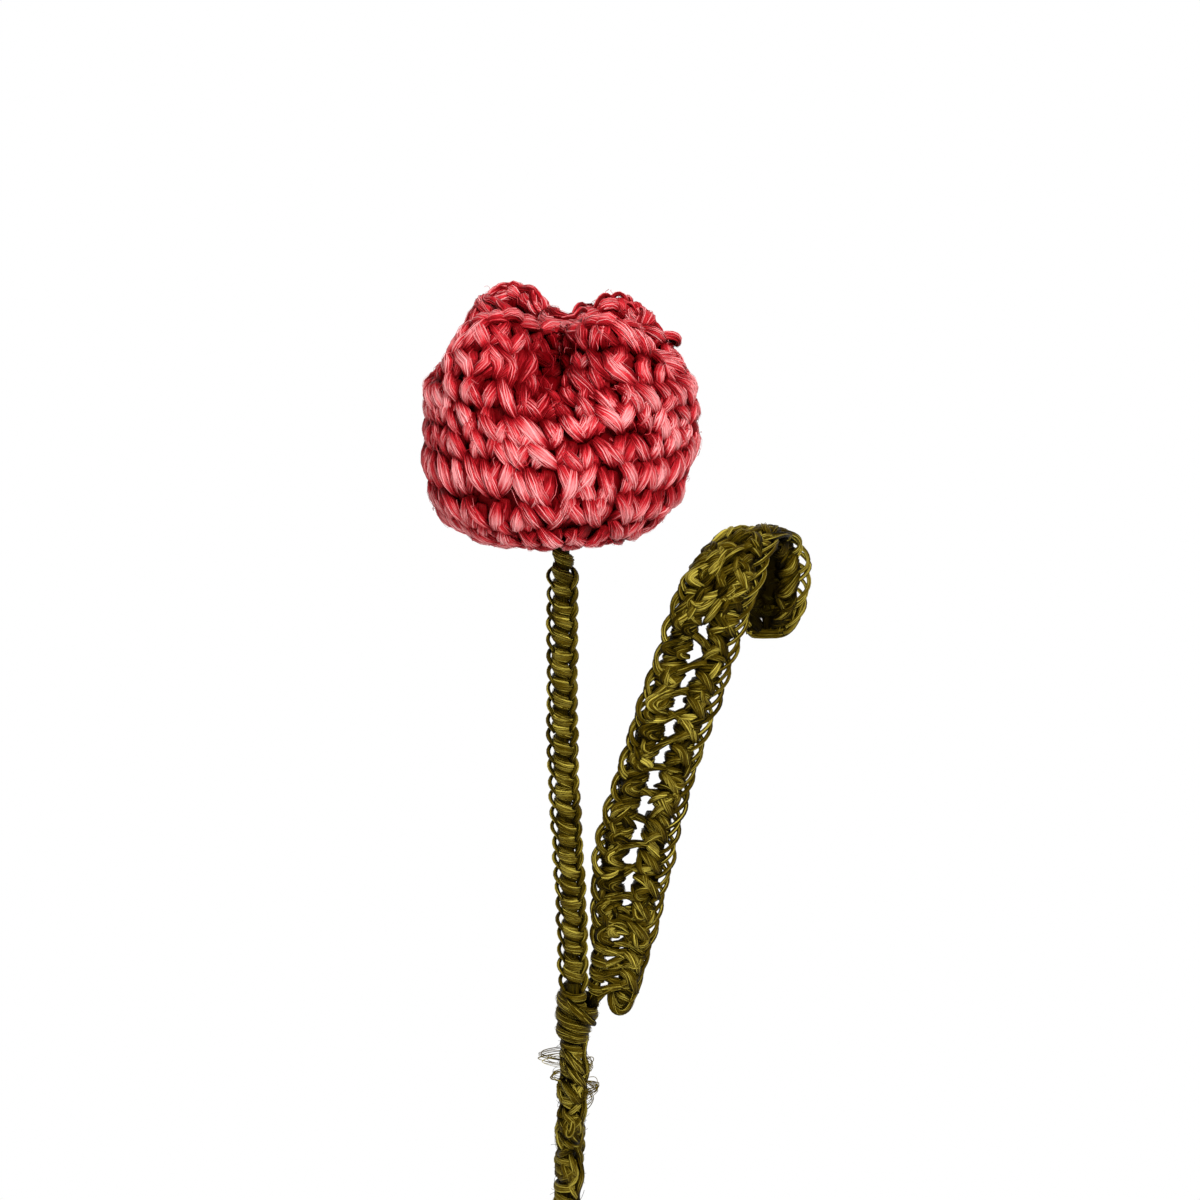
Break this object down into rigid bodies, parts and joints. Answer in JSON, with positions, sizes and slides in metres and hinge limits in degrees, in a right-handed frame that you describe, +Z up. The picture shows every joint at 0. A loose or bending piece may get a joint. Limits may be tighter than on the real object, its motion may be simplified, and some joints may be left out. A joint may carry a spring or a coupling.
{
  "type": "crocheted tulip",
  "caption": "Crocheted plant-fibre tulip on a wire stem: a stuffed, pinched red flower that nods, and a curled green ladder leaf that bends away from the stem.",
  "frame": {"origin": "centre of the stem's foot, where the stem ends", "axes": "+Z up the stem to the flower, +X to the side of the leaf, -Y to the front of the flower"},
  "size_m": [0.0863, 0.0604, 0.3329],
  "materials": {
    "red_fibre": "coral-red dyed plant fibre yarn with a silky sheen",
    "green_fibre": "olive-green dyed plant fibre yarn with a silky sheen",
    "stuffing": "loose fibre filling",
    "wire": "annealed florist's wire"
  },
  "bodies": {
    "stem": {"stem_wire": "wire", "lower_stem_sleeve": "green_fibre", "upper_stem_sleeve": "green_fibre", "leaf_binding": "green_fibre"},
    "head": {"flower_cup": "red_fibre", "cup_stuffing": "stuffing", "closing_stitch": "red_fibre"},
    "leaf": {"leaf_wire": "wire", "leaf_blade": "green_fibre"}
  },
  "joints": [
    {"name": "head_nod", "type": "hinge", "parent": "stem", "child": "head", "pos_m": [-0.0003, 0, 0.2755], "axis": [1, 0, 0], "range_deg": [-40, 45], "deforming": ["stem_wire"]},
    {"name": "leaf_swing", "type": "hinge", "parent": "stem", "child": "leaf", "pos_m": [0.0054, 0.0008, 0.1723], "axis": [0, 1, 0], "range_deg": [0, 28], "deforming": ["leaf_wire"]}
  ]
}
